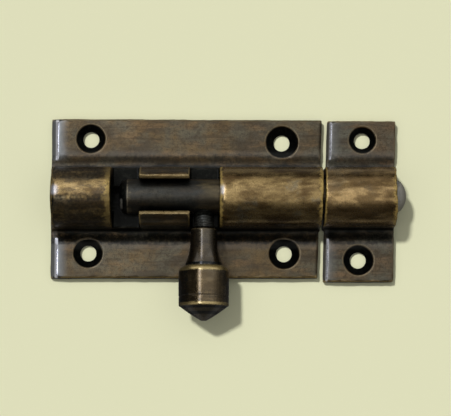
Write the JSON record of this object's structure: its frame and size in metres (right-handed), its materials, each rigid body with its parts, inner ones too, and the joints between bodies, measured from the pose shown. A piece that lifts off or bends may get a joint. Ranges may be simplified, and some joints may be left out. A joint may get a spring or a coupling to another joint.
{
  "type": "barrel bolt",
  "caption": "Small brass barrel bolt with its keep: a round bolt slides in an arched barrel and a side knob locks it in a gate cut across the barrel.",
  "frame": {"origin": "centre of the case's flat back face, under the bolt's axis", "axes": "+X along the bolt towards the keep, +Y across the flange away from the knob, +Z out of the surface the backs lie on"},
  "size_m": [0.0655, 0.0379, 0.012],
  "materials": {
    "case_brass": "antique brass: brown-grey patina, worn golden on raised edges",
    "keep_brass": "antique brass: brown-grey patina, worn golden on raised edges",
    "bolt_metal": "dark grey-black patina over turned brass",
    "knob_brass": "turned antique brass, golden on its rims",
    "stud_metal": "dull grey, speckled"
  },
  "bodies": {
    "case": {"case": "case_brass"},
    "bolt": {"bolt_rod": "bolt_metal", "knob_stud": "stud_metal", "knob": "knob_brass"},
    "keep": {"keep": "keep_brass"}
  },
  "joints": [
    {"name": "knob_turn", "type": "hinge", "parent": "case", "child": "bolt", "pos_m": [0.0035, 0, 0.0065], "axis": [-1, 0, 0], "range_deg": [0, 175]},
    {"name": "keep_slide", "type": "slide", "parent": "case", "child": "keep", "axis": [1, 0, 0], "range_m": [0, 0.02]}
  ]
}
